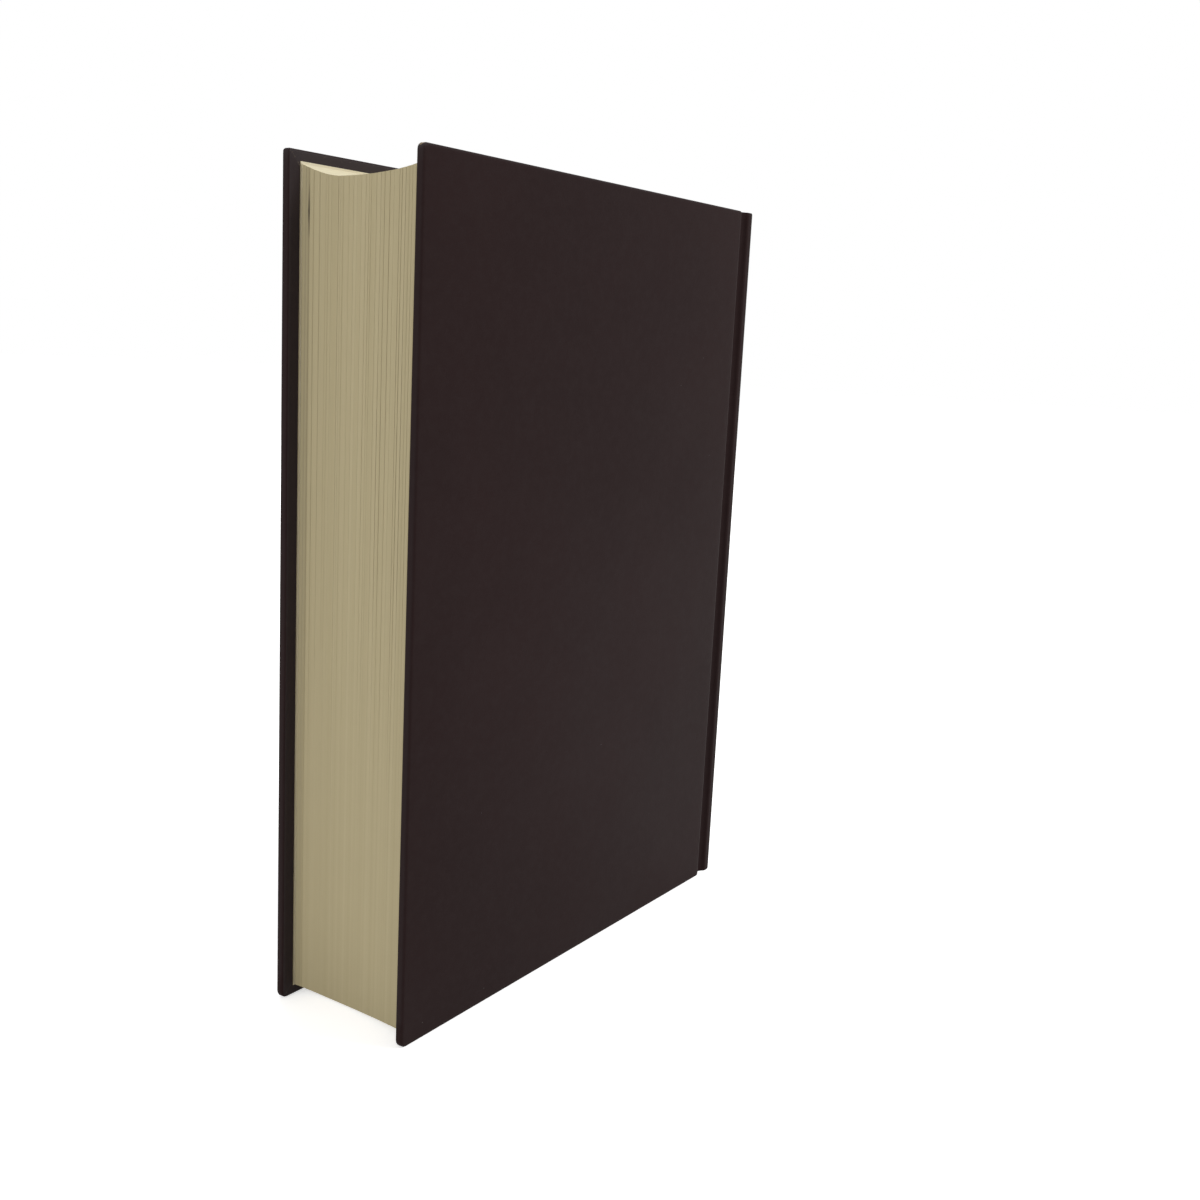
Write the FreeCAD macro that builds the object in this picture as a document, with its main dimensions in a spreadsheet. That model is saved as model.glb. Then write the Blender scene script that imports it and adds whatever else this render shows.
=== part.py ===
import FreeCAD, Part
import math
import os
import Sketcher

# Hardback book with a rounded back, standing upright on its tail. Millimetres.
# X runs from the spine (-X) to the fore edge (+X). The front cover faces -Y, the back cover +Y.
# Z is up, and the origin is the bottom centre of the closed book.

doc = FreeCAD.newDocument("HardbackBook")

# Driving dimensions

DIMENSIONS = [
    ("cover_height", 240.0),
    ("overall_width", 178.0),
    ("overall_thickness", 48.9),
    ("cover_thickness", 2.5),
    ("cloth_thickness", 0.25),
    ("turn_in", 15.0),
    ("edge_round", 0.6),
    ("page_height", 233.0),
    ("pastedown_overhang", 0.5),
    ("endpaper_thickness", 0.15),
    ("cover_clearance", 0.3),
    ("fore_square_front", 4.4),
    ("fore_square_back", 3.6),
    ("fore_square_endpaper", 4.2),
    ("fore_hollow", 8.2),
    ("fore_hollow_offset", 11.5),
    ("sag_front", 0.2),
    ("sag_back", 0.5),
    ("sag_deepest", 2.9),
    ("sag_offset", 11.0),
    ("back_rise", 4.0),
    ("shoulder_rise", 1.5),
    ("shoulder_length", 4.5),
    ("mull_thickness", 0.2),
    ("lining_thickness", 0.3),
    ("spine_hollow", 0.6),
    ("inlay_thickness", 0.8),
    ("land_drop", 0.5),
    ("joint_distance", 10.5),
    ("groove_radius", 3.2),
    ("groove_depth", 2.0),
    ("band_height", 8.0),
    ("band_bead", 0.9),
]

sheet = doc.addObject("Spreadsheet::Sheet", "Dimensions")
for row, (alias, number) in enumerate(DIMENSIONS, start=1):
    sheet.set("A%d" % row, alias)
    sheet.set("B%d" % row, str(number))
    sheet.setAlias("B%d" % row, alias)
doc.recompute()


class Size:
    """A length that knows its number and the sheet expression that drives it."""

    def __init__(self, text, number):
        self.text = text
        self.number = number

    def __add__(self, other):
        other = as_size(other)
        return Size("(%s + %s)" % (self.text, other.text), self.number + other.number)

    def __sub__(self, other):
        other = as_size(other)
        return Size("(%s - %s)" % (self.text, other.text), self.number - other.number)

    def __mul__(self, other):
        other = as_size(other)
        return Size("(%s * %s)" % (self.text, other.text), self.number * other.number)

    def __truediv__(self, other):
        other = as_size(other)
        return Size("(%s / %s)" % (self.text, other.text), self.number / other.number)

    def __neg__(self):
        return Size("(0 - %s)" % self.text, -self.number)


def as_size(value):
    if isinstance(value, Size):
        return value
    return Size(repr(float(value)), float(value))


def dimension(alias):
    return Size("Dimensions." + alias, float(sheet.get(alias)))


def square_root(size):
    return Size("sqrt(%s)" % size.text, math.sqrt(size.number))


ZERO = as_size(0)

cover_height = dimension("cover_height")
cover_thickness = dimension("cover_thickness")
cloth_thickness = dimension("cloth_thickness")
turn_in = dimension("turn_in")
page_height = dimension("page_height")
endpaper_thickness = dimension("endpaper_thickness")
mull_thickness = dimension("mull_thickness")
lining_thickness = dimension("lining_thickness")
inlay_thickness = dimension("inlay_thickness")
groove_radius = dimension("groove_radius")
band_height = dimension("band_height")
band_bead = dimension("band_bead")

# Planes across the width, from the spine to the fore edge

spine_x = -dimension("overall_width") / 2
fore_x = dimension("overall_width") / 2
hinge_x = spine_x + dimension("joint_distance")

# Planes through the thickness, from a cover's outer face inwards

outer_y = dimension("overall_thickness") / 2
inner_y = outer_y - cover_thickness
pastedown_y = inner_y - endpaper_thickness
flyleaf_y = pastedown_y - dimension("cover_clearance")
page_y = flyleaf_y - endpaper_thickness
shoulder_y = page_y + dimension("shoulder_rise")
land_y = outer_y - dimension("land_drop")

# Planes up the height

head_z = (cover_height + page_height) / 2
tail_z = (cover_height - page_height) / 2

# The joint groove is a round channel whose centre lies outside the cover's face

groove_y = outer_y + groove_radius - dimension("groove_depth")
groove_half = square_root(
    groove_radius * groove_radius - (groove_y - outer_y) * (groove_y - outer_y))
board_x = hinge_x + groove_half + cloth_thickness

# The back of the text block is a circular arc, and every layer over it shares its centre

back_x = (spine_x + cloth_thickness + inlay_thickness + dimension("spine_hollow")
          + lining_thickness + mull_thickness)
back_corner_x = back_x + dimension("back_rise")
back_radius = ((shoulder_y * shoulder_y + dimension("back_rise") * dimension("back_rise"))
               / (dimension("back_rise") * 2))
back_centre_x = back_x + back_radius
mull_radius = back_radius + mull_thickness
lining_radius = mull_radius + lining_thickness
inlay_radius = back_centre_x - spine_x - cloth_thickness
spine_radius = back_centre_x - spine_x


def bind(thing, path, size):
    thing.setExpression(path, as_size(size).text)


def place(thing, x=ZERO, y=ZERO, z=ZERO):
    for axis, size in (("x", x), ("y", y), ("z", z)):
        bind(thing, "Placement.Base." + axis, size)


def box(name, low, high):
    solid = doc.addObject("Part::Box", name)
    for side, first, last in zip(("Length", "Width", "Height"), low, high):
        bind(solid, side, as_size(last) - first)
    place(solid, *low)
    return solid


def cylinder(name, x, y, z, radius, height):
    solid = doc.addObject("Part::Cylinder", name)
    bind(solid, "Radius", radius)
    bind(solid, "Height", height)
    place(solid, x, y, z)
    return solid


def cut(name, base, tool):
    result = doc.addObject("Part::Cut", name)
    result.Base = base
    result.Tool = tool
    return result


def common(name, base, tool):
    result = doc.addObject("Part::Common", name)
    result.Base = base
    result.Tool = tool
    return result


def fuse(name, solids):
    result = doc.addObject("Part::MultiFuse", name)
    result.Shapes = solids
    result.Refine = True
    return result


def fillet(name, base, radius_alias, wanted):
    """Round every edge of base for which wanted(edge) is true."""
    doc.recompute()
    radius = dimension(radius_alias).number
    result = doc.addObject("Part::Fillet", name)
    result.Base = base
    result.Edges = [
        (number, radius, radius)
        for number, edge in enumerate(base.Shape.Edges, start=1)
        if wanted(edge)
    ]
    return result


def near(value, size):
    return abs(value - as_size(size).number) < 0.001


def origin_plane(body, role):
    for feature in body.Origin.OriginFeatures:
        if feature.Role == role:
            return feature


def new_body(name):
    return doc.addObject("PartDesign::Body", name)


def new_sketch(body, name, role, offset=ZERO):
    sketch = body.newObject("Sketcher::SketchObject", name)
    sketch.AttachmentSupport = [(origin_plane(body, role), "")]
    sketch.MapMode = "FlatFace"
    bind(sketch, "AttachmentOffset.Base.z", offset)
    return sketch


def pin_point(sketch, geometry, end, u, v):
    """Hold one point of a sketch at (u, v) from the sketch's origin."""
    for kind, size in (("DistanceX", u), ("DistanceY", v)):
        constraint = Sketcher.Constraint(kind, -1, 1, geometry, end, as_size(size).number)
        index = sketch.addConstraint(constraint)
        sketch.setExpression("Constraints[%d]" % index, as_size(size).text)


def closed_outline(sketch, corners, centres=None):
    """Join the corners in order. centres gives an arc's centre by the number of its first corner:
    the centre, and whether the arc turns anticlockwise."""
    centres = centres or {}
    count = len(corners)
    points = [FreeCAD.Vector(as_size(u).number, as_size(v).number, 0) for u, v in corners]
    ends = []
    for number in range(count):
        start = points[number]
        end = points[(number + 1) % count]
        if number in centres:
            (centre_u, centre_v), anticlockwise = centres[number]
            centre = FreeCAD.Vector(as_size(centre_u).number, as_size(centre_v).number, 0)
            first, last = (start, end) if anticlockwise else (end, start)
            circle = Part.Circle(
                centre, FreeCAD.Vector(0, 0, 1), start.distanceToPoint(centre))
            sketch.addGeometry(Part.ArcOfCircle(
                circle,
                math.atan2(first.y - centre.y, first.x - centre.x),
                math.atan2(last.y - centre.y, last.x - centre.x)), False)
            ends.append((1, 2) if anticlockwise else (2, 1))
        else:
            sketch.addGeometry(Part.LineSegment(start, end), False)
            ends.append((1, 2))
    for number in range(count):
        following = (number + 1) % count
        pin_point(sketch, number, ends[number][0], *corners[number])
        sketch.addConstraint(Sketcher.Constraint(
            "Coincident", number, ends[number][1], following, ends[following][0]))

    # An arc's two ends are held already, so one more distance settles its centre.
    # Beside an upright chord the centre's height is known, and only the distance across is left.
    for number, ((centre_u, centre_v), _) in centres.items():
        upright = near(points[number].x, points[(number + 1) % count].x)
        kind, size = ("DistanceX", centre_u) if upright else ("DistanceY", centre_v)
        size = as_size(size)
        index = sketch.addConstraint(
            Sketcher.Constraint(kind, -1, 1, number, 3, size.number))
        sketch.setExpression("Constraints[%d]" % index, size.text)


def rectangle(sketch, low_u, low_v, high_u, high_v):
    closed_outline(sketch, [(low_u, low_v), (high_u, low_v), (high_u, high_v), (low_u, high_v)])


def pad(body, name, sketch, length, backwards=False):
    feature = body.newObject("PartDesign::Pad", name)
    feature.Profile = sketch
    feature.Reversed = backwards
    bind(feature, "Length", length)
    return feature


def stand_on_front(thing):
    """Turn a piece of the back cover half a turn about X, so that it serves the front cover."""
    thing.Placement = FreeCAD.Placement(
        FreeCAD.Vector(0, 0, 0), FreeCAD.Rotation(FreeCAD.Vector(1, 0, 0), 180))
    bind(thing, "Placement.Base.z", cover_height)


nodes = []


def keep(thing, label):
    thing.Label = label
    nodes.append(thing)


def tangent_centre(tip_u, tip_v, end_u, end_v):
    """Height of the centre of the arc that leaves the tip level and passes through the end."""
    run = end_u - tip_u
    rise = end_v - tip_v
    return tip_v + (run * run + rise * rise) / (rise * 2)


# Text block: rounded back with shoulders, hollow fore edge, head and tail that sag to the fore edge

def edge_section(body, name, station, level, far, sag_y, reach_y):
    """Section across the thickness of what lies beyond the head or the tail, out to far."""
    _, x, drops = station
    front_drop, deepest_drop, back_drop = drops
    sketch = new_sketch(body, name + "Section", "YZ_Plane", x)
    front_end = (-page_y, level - front_drop)
    deepest = (sag_y, level - deepest_drop)
    back_end = (page_y, level - back_drop)
    corners = [
        (-reach_y, far),
        (-reach_y, level - front_drop),
        front_end,
        deepest,
        back_end,
        (reach_y, level - back_drop),
        (reach_y, far),
    ]
    centres = {}
    if deepest_drop.number > 0:
        for first, end in ((2, front_end), (3, back_end)):
            centre_v = tangent_centre(*deepest, *end)
            centres[first] = ((sag_y, centre_v), True)
    closed_outline(sketch, corners, centres)
    return sketch


def make_text_block():
    body = new_body("TextBlock")
    front_fore_x = fore_x - dimension("fore_square_front")
    back_fore_x = fore_x - dimension("fore_square_back")
    deepest_x = fore_x - dimension("fore_hollow")
    deepest_y = -dimension("fore_hollow_offset")
    flare_x = back_corner_x + dimension("shoulder_length")
    sag_deepest = dimension("sag_deepest")

    outline = new_sketch(body, "PageOutline", "XY_Plane", tail_z - sag_deepest * 2)
    closed_outline(
        outline,
        [
            (flare_x, -page_y),
            (front_fore_x, -page_y),
            (deepest_x, deepest_y),
            (back_fore_x, page_y),
            (flare_x, page_y),
            (back_corner_x, shoulder_y),
            (back_corner_x, -shoulder_y),
        ],
        {
            1: ((tangent_centre(deepest_y, deepest_x, -page_y, front_fore_x), deepest_y), False),
            2: ((tangent_centre(deepest_y, deepest_x, page_y, back_fore_x), deepest_y), False),
            5: ((back_centre_x, ZERO), True),
        })
    pad(body, "Pages", outline, page_height + sag_deepest * 2)

    # The head and tail are level over the joint and hang in a shallow curve at the fore edge.
    # The fore station lies past the pages, so its drops are stretched in proportion.
    reach_y = shoulder_y + sag_deepest
    sag_y = -dimension("sag_offset")
    stretch = (fore_x - board_x) / (deepest_x - board_x)
    level_drops = (ZERO, ZERO, ZERO)
    fore_drops = (
        dimension("sag_front") * stretch, sag_deepest * stretch, dimension("sag_back") * stretch)
    stations = (
        ("Fore", fore_x, fore_drops),
        ("Joint", board_x, level_drops),
        ("Back", back_x - sag_deepest, level_drops),
    )
    for end_name, level, far, trimmed in (
            ("Head", head_z, head_z + sag_deepest * 2, stations[:2]),
            ("Tail", tail_z, tail_z - sag_deepest * 4, stations)):
        for start, end in zip(trimmed, trimmed[1:]):
            name = end_name + start[0]
            sections = [
                edge_section(body, name + station[0], station, level, far, sag_y, reach_y)
                for station in (start, end)
            ]
            trim = body.newObject("PartDesign::SubtractiveLoft", name + "Trim")
            trim.Profile = sections[0]
            trim.Sections = [sections[1]]
            trim.Ruled = True
    keep(body, "text_block")


# Layers that follow the rounded back

def arc_layer(name, inner_radius, outer_radius, half_width, low_z, high_z):
    """A layer over the back between two radii, as wide as 2 x half_width."""
    height = high_z - low_z
    outside = cylinder(name + "Outside", back_centre_x, ZERO, low_z, outer_radius, height)
    inside = cylinder(name + "Inside", back_centre_x, ZERO, low_z, inner_radius, height)
    ring = cut(name + "Ring", outside, inside)
    window = box(
        name + "Window",
        (spine_x, -half_width, low_z),
        (back_corner_x + inlay_thickness + back_x - spine_x, half_width, high_z))
    return common(name, ring, window)


def make_back_linings():
    mull = arc_layer(
        "Mull", back_radius, mull_radius, shoulder_y, tail_z, head_z)
    keep(mull, "mull")
    lining_half = shoulder_y - lining_thickness
    lining = arc_layer(
        "Lining", mull_radius, lining_radius, lining_half, tail_z + band_height, head_z - band_height)
    keep(lining, "spine_lining")

    for name, label, edge_z, low_z, high_z in (
            ("Head", "head_band", head_z, head_z - band_height, head_z + band_bead),
            ("Tail", "tail_band", tail_z, tail_z - band_bead, tail_z + band_height)):
        tape = arc_layer(name + "Tape", mull_radius, lining_radius, lining_half, low_z, high_z)
        bead_z = edge_z + band_bead if name == "Head" else edge_z - band_bead
        ring = doc.addObject("Part::Torus", name + "Bead")
        bind(ring, "Radius1", lining_radius - band_bead)
        bind(ring, "Radius2", band_bead)
        place(ring, back_centre_x, ZERO, bead_z)
        reach = box(
            name + "BeadReach",
            (spine_x, -lining_half, bead_z - band_bead),
            (back_corner_x + band_bead * 3, lining_half, bead_z + band_bead))
        bead = common(name + "BeadArc", ring, reach)
        keep(fuse(name + "Band", [tape, bead]), label)


# Spine piece: card inlay with the covering round it and down into both joint grooves

def spine_form(name, inset, low_z, high_z):
    """The spine's outer form up to the hinge planes, drawn in by inset on every side."""
    height = high_z - low_z
    round_back = cylinder(
        name + "Round", back_centre_x, ZERO, low_z, spine_radius - inset, height)
    reach = box(
        name + "Reach", (spine_x, -(land_y - inset), low_z), (hinge_x, land_y - inset, high_z))
    form = common(name + "Back", round_back, reach)
    for side, sign in (("Front", -1), ("Rear", 1)):
        groove = cylinder(
            name + side + "Groove", hinge_x, groove_y * sign, low_z, groove_radius + inset, height)
        form = cut(name + side, form, groove)
    return form


def make_spine():
    inlay_half = shoulder_y - inlay_thickness
    inlay_inner = inlay_radius - inlay_thickness
    inlay = arc_layer(
        "Inlay", inlay_inner, inlay_radius, inlay_half,
        cloth_thickness, cover_height - cloth_thickness)
    keep(inlay, "spine_inlay")

    skin = cut(
        "SpineSkin",
        spine_form("SpineOuter", ZERO, ZERO, cover_height),
        spine_form("SpineInner", cloth_thickness, ZERO, cover_height))
    pieces = [skin]
    for name, low_z, high_z, edge_low, edge_high in (
            ("SpineTail", ZERO, turn_in, ZERO, cloth_thickness),
            ("SpineHead", cover_height - turn_in, cover_height,
             cover_height - cloth_thickness, cover_height)):
        pieces.append(arc_layer(
            name + "Edge", inlay_inner - cloth_thickness, inlay_radius, inlay_half,
            edge_low, edge_high))
        pieces.append(arc_layer(
            name + "TurnIn", inlay_inner - cloth_thickness, inlay_inner, inlay_half,
            low_z, high_z))
    keep(fuse("SpineCloth", pieces), "spine_cloth")


# Covers, drawn for the back cover and turned round for the front one

def make_board(prefix):
    body = new_body(prefix + "Board")
    sketch = new_sketch(body, prefix + "BoardFace", "XZ_Plane", -(inner_y + cloth_thickness))
    rectangle(
        sketch, board_x, cloth_thickness, fore_x - cloth_thickness, cover_height - cloth_thickness)
    pad(body, prefix + "BoardPad", sketch, cover_thickness - cloth_thickness * 2, True)
    return body


def make_cover_cloth(prefix):
    block = box(
        prefix + "ClothBlock", (hinge_x, inner_y, ZERO), (fore_x, outer_y, cover_height))
    groove = cylinder(
        prefix + "ClothGroove", hinge_x, groove_y, ZERO, groove_radius, cover_height)
    grooved = cut(prefix + "ClothGrooved", block, groove)
    rounded = fillet(prefix + "ClothRounded", grooved, "edge_round", is_cover_edge)

    # Inside: the board, the window between the turn-ins, and the space beside the board in the joint
    board_space = box(
        prefix + "BoardSpace",
        (board_x, inner_y + cloth_thickness, cloth_thickness),
        (fore_x - cloth_thickness, outer_y - cloth_thickness, cover_height - cloth_thickness))
    window = box(
        prefix + "ClothWindow",
        (board_x, inner_y, turn_in),
        (fore_x - turn_in, inner_y + cloth_thickness, cover_height - turn_in))
    joint_box = box(
        prefix + "JointBox",
        (hinge_x, inner_y, ZERO),
        (board_x, outer_y - cloth_thickness, cover_height))
    joint_groove = cylinder(
        prefix + "JointGroove", hinge_x, groove_y, ZERO,
        groove_radius + cloth_thickness, cover_height)
    joint_space = cut(prefix + "JointSpace", joint_box, joint_groove)
    inside = fuse(prefix + "ClothInside", [board_space, window, joint_space])
    return cut(prefix + "Cloth", rounded, inside)


def is_cover_edge(edge):
    """The long edges of a covered board, and its edge along the joint."""
    planes = (
        ("x", fore_x), ("y", outer_y), ("y", inner_y), ("z", ZERO), ("z", cover_height))
    joint_edge_x = hinge_x + groove_half
    points = [vertex.Point for vertex in edge.Vertexes]
    if edge.Curve.TypeId != "Part::GeomLine":
        return False
    if any(point.x < joint_edge_x.number - 0.001 for point in points):
        return False
    held = 0
    for axis, size in planes:
        if all(near(getattr(point, axis), size) for point in points):
            held += 1
    return held == 2


def make_pastedown(prefix):
    """Half an endpaper, glued over the turn-ins and down onto the board between them."""
    body = new_body(prefix + "Pastedown")
    margin_z = tail_z - dimension("pastedown_overhang")
    pastedown_fore_x = fore_x - dimension("fore_square_endpaper")
    recess_fore_x = fore_x - turn_in
    recess_high_z = cover_height - turn_in

    sheet_face = new_sketch(body, prefix + "SheetFace", "XZ_Plane", -inner_y)
    rectangle(
        sheet_face, hinge_x + dimension("cover_clearance"), margin_z,
        pastedown_fore_x, cover_height - margin_z)
    pad(body, prefix + "SheetPad", sheet_face, endpaper_thickness)

    recess_face = new_sketch(body, prefix + "RecessFace", "XZ_Plane", -inner_y)
    rectangle(recess_face, board_x, turn_in, recess_fore_x, recess_high_z)
    pad(body, prefix + "RecessPad", recess_face, cloth_thickness, True)

    dip_face = new_sketch(body, prefix + "DipFace", "XZ_Plane", -pastedown_y)
    rectangle(
        dip_face, board_x + endpaper_thickness, turn_in + endpaper_thickness,
        recess_fore_x - endpaper_thickness, recess_high_z - endpaper_thickness)
    dip = body.newObject("PartDesign::Pocket", prefix + "Dip")
    dip.Profile = dip_face
    bind(dip, "Length", cloth_thickness)
    return body


def make_flyleaf(prefix):
    body = new_body(prefix + "Flyleaf")
    face = new_sketch(body, prefix + "LeafFace", "XZ_Plane", -page_y)
    rectangle(
        face, back_corner_x + dimension("shoulder_length"), tail_z,
        fore_x - dimension("fore_square_endpaper"), head_z)
    pad(body, prefix + "LeafPad", face, endpaper_thickness, True)
    return body


def make_cover(prefix, label):
    pieces = (
        (make_board(prefix), "board"),
        (make_cover_cloth(prefix), "cloth"),
        (make_pastedown(prefix), "pastedown"),
        (make_flyleaf(prefix), "flyleaf"),
    )
    for piece, name in pieces:
        if label == "front":
            stand_on_front(piece)
        keep(piece, label + "_" + name)


make_text_block()
make_back_linings()
make_spine()
make_cover("Back", "back")
make_cover("Front", "front")
doc.recompute()


# Every feature has to be sound before anything is written

for thing in doc.Objects:
    if "Invalid" in thing.State or "Error" in thing.State:
        raise RuntimeError("%s failed: %s" % (thing.Name, thing.getStatusString()))

os.makedirs("parts", exist_ok=True)
for node in nodes:
    shape = node.Shape
    if shape.isNull() or not shape.isValid() or len(shape.Solids) != 1:
        raise RuntimeError("%s is not one sound solid" % node.Label)
    shape.exportStep("parts/%s.step" % node.Label)
    print("%-16s %12.1f mm3" % (node.Label, shape.Volume))
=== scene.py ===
import math

import bmesh
import bpy
import numpy as np
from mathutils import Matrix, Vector


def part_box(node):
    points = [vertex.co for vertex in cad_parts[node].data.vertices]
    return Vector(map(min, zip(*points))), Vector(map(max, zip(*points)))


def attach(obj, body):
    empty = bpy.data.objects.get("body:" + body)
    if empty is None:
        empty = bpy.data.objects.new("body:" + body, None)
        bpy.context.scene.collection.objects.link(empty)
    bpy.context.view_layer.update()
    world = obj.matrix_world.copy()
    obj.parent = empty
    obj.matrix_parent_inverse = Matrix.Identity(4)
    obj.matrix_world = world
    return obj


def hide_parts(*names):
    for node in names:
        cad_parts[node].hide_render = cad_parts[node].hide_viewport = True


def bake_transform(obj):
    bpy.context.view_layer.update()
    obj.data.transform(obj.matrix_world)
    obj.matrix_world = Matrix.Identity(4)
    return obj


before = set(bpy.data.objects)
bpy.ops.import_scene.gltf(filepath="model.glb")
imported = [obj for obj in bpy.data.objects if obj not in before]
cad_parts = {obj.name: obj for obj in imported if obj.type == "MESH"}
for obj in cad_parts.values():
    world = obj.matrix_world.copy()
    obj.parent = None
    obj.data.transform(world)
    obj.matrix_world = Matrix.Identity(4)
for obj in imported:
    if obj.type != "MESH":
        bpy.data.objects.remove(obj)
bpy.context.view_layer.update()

# A hardback book on its tail. X runs from the spine to the fore edge, the front cover faces -Y.

MM = 0.001

# Planes of the CAD frame

cloth_low, cloth_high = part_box("back_cloth")
spine_low, spine_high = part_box("spine_cloth")
leaf_low, leaf_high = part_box("back_flyleaf")
paste_low, paste_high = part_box("back_pastedown")
pages_low, pages_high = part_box("text_block")
mull_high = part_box("mull")[1]
band_low, band_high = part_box("head_band")

HEIGHT = cloth_high.z
FORE_X = cloth_high.x
SPINE_X = spine_low.x
HINGE_X = spine_high.x
OUTER_Y = cloth_high.y
INNER_Y = cloth_low.y
LAND_Y = spine_high.y
BOARD_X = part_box("back_board")[0].x
SHOULDER_Y = pages_high.y
BACK_X = pages_low.x
BACK_CORNER_X = mull_high.x
PAGE_Y = leaf_low.y
FLARE_X = leaf_low.x
HEAD_Z = leaf_high.z
TAIL_Z = leaf_low.z
COVER = OUTER_Y - INNER_Y

# Sizes that no box gives

CLOTH = 0.25 * MM
PAPER = 0.15 * MM
MULL = 0.2 * MM
TAPE = 0.3 * MM
INLAY = 0.8 * MM
BEAD = 0.9 * MM
TURN_IN = 15 * MM
JOINT_TURN_IN = 3.2 * MM
EDGE_ROUND = 0.75 * MM
HEAD_CORNER_ROUND = {"front": 1.0 * MM, "back": 1.6 * MM}
TAIL_CORNER_ROUND = 2.2 * MM
GROOVE_RADIUS = 3.2 * MM
GROOVE_DEPTH = 2.0 * MM
FORE_SQUARE_FRONT = 4.4 * MM
FORE_SQUARE_BACK = 3.6 * MM
FORE_HOLLOW = 8.2 * MM
FORE_HOLLOW_Y = -11.5 * MM
SAG_FRONT = 0.2 * MM
SAG_BACK = 0.5 * MM
SAG_DEEPEST = 2.9 * MM
SAG_Y = -11.0 * MM

# A sheet is drawn a little thinner than it is, so that glued faces don't coincide

SHEET_SHARE = 0.9

# The rounded back's arcs share one centre

BACK_RISE = BACK_CORNER_X - BACK_X
BACK_RADIUS = (SHOULDER_Y ** 2 + BACK_RISE ** 2) / (2 * BACK_RISE)
BACK_CENTRE_X = BACK_X + BACK_RADIUS
SPINE_RADIUS = BACK_CENTRE_X - SPINE_X
SPINE_CORNER_X = BACK_CENTRE_X - math.sqrt(SPINE_RADIUS ** 2 - LAND_Y ** 2)
GROOVE_Y = OUTER_Y + GROOVE_RADIUS - GROOVE_DEPTH

# Where the covering is parted: in the flat of the spine's edge and just inside the board

STRIP_START_X = -83.0 * MM
STRIP_END_X = -72.0 * MM

rng = np.random.default_rng(11)


# Meshes

def object_from(name, points, faces):
    mesh = bpy.data.meshes.new(name)
    mesh.from_pydata([tuple(p) for p in points], [], faces)
    obj = bpy.data.objects.new(name, mesh)
    bpy.context.scene.collection.objects.link(obj)
    return obj


def grid_faces(columns, rows):
    """Quads of a grid whose points are listed column by column."""
    faces = []
    for i in range(columns - 1):
        for j in range(rows - 1):
            a = i * rows + j
            faces.append((a, a + rows, a + rows + 1, a + 1))
    return faces


def ring_faces(ring, count, first=0):
    """Quads between rings that follow each other, each listing its points in the order of ring."""
    size = len(ring)
    faces = []
    for i in range(count - 1):
        for k in range(size):
            a = first + i * size + ring[k]
            b = first + i * size + ring[(k + 1) % size]
            faces.append((a, b, b + size, a + size))
    return faces


def weld(obj, outward):
    """Merge points that coincide, and turn the surface so that its largest face looks outward."""
    edit = bmesh.new()
    edit.from_mesh(obj.data)
    bmesh.ops.remove_doubles(edit, verts=edit.verts, dist=0.002 * MM)
    bmesh.ops.dissolve_degenerate(edit, edges=edit.edges, dist=0.001 * MM)
    bmesh.ops.recalc_face_normals(edit, faces=edit.faces)
    largest = max(edit.faces, key=lambda face: face.calc_area())
    if largest.normal.dot(Vector(outward)) < 0:
        bmesh.ops.reverse_faces(edit, faces=edit.faces)
    edit.to_mesh(obj.data)
    edit.free()


def thicken(obj, thickness, offset=-1.0):
    """Give a surface its thickness: inwards, or to both sides with offset 0."""
    solidify = obj.modifiers.new("thickness", "SOLIDIFY")
    solidify.thickness = thickness
    solidify.offset = offset
    graph = bpy.context.evaluated_depsgraph_get()
    done = bpy.data.meshes.new_from_object(obj.evaluated_get(graph))
    obj.modifiers.clear()
    obj.data = done


def finish_mesh(obj, material, sharp_angle=40.0, wear=None):
    """Smooth shading with crisp folds, the rest place as an attribute, and the finish."""
    mesh = obj.data
    for polygon in mesh.polygons:
        polygon.use_smooth = True
    mesh.set_sharp_from_angle(angle=math.radians(sharp_angle))
    places = np.zeros(len(mesh.vertices) * 3, np.float32)
    mesh.vertices.foreach_get("co", places)
    rest = mesh.attributes.new("rest", "FLOAT_VECTOR", "POINT")
    rest.data.foreach_set("vector", places)
    if wear is not None:
        worn = mesh.attributes.new("wear", "FLOAT", "POINT")
        worn.data.foreach_set("value", wear(places.reshape(-1, 3)).astype(np.float32))
    mesh.materials.clear()
    mesh.materials.append(material)


def smooth_step(value):
    value = np.clip(value, 0.0, 1.0)
    return value * value * (3 - 2 * value)


# Node helpers

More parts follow.
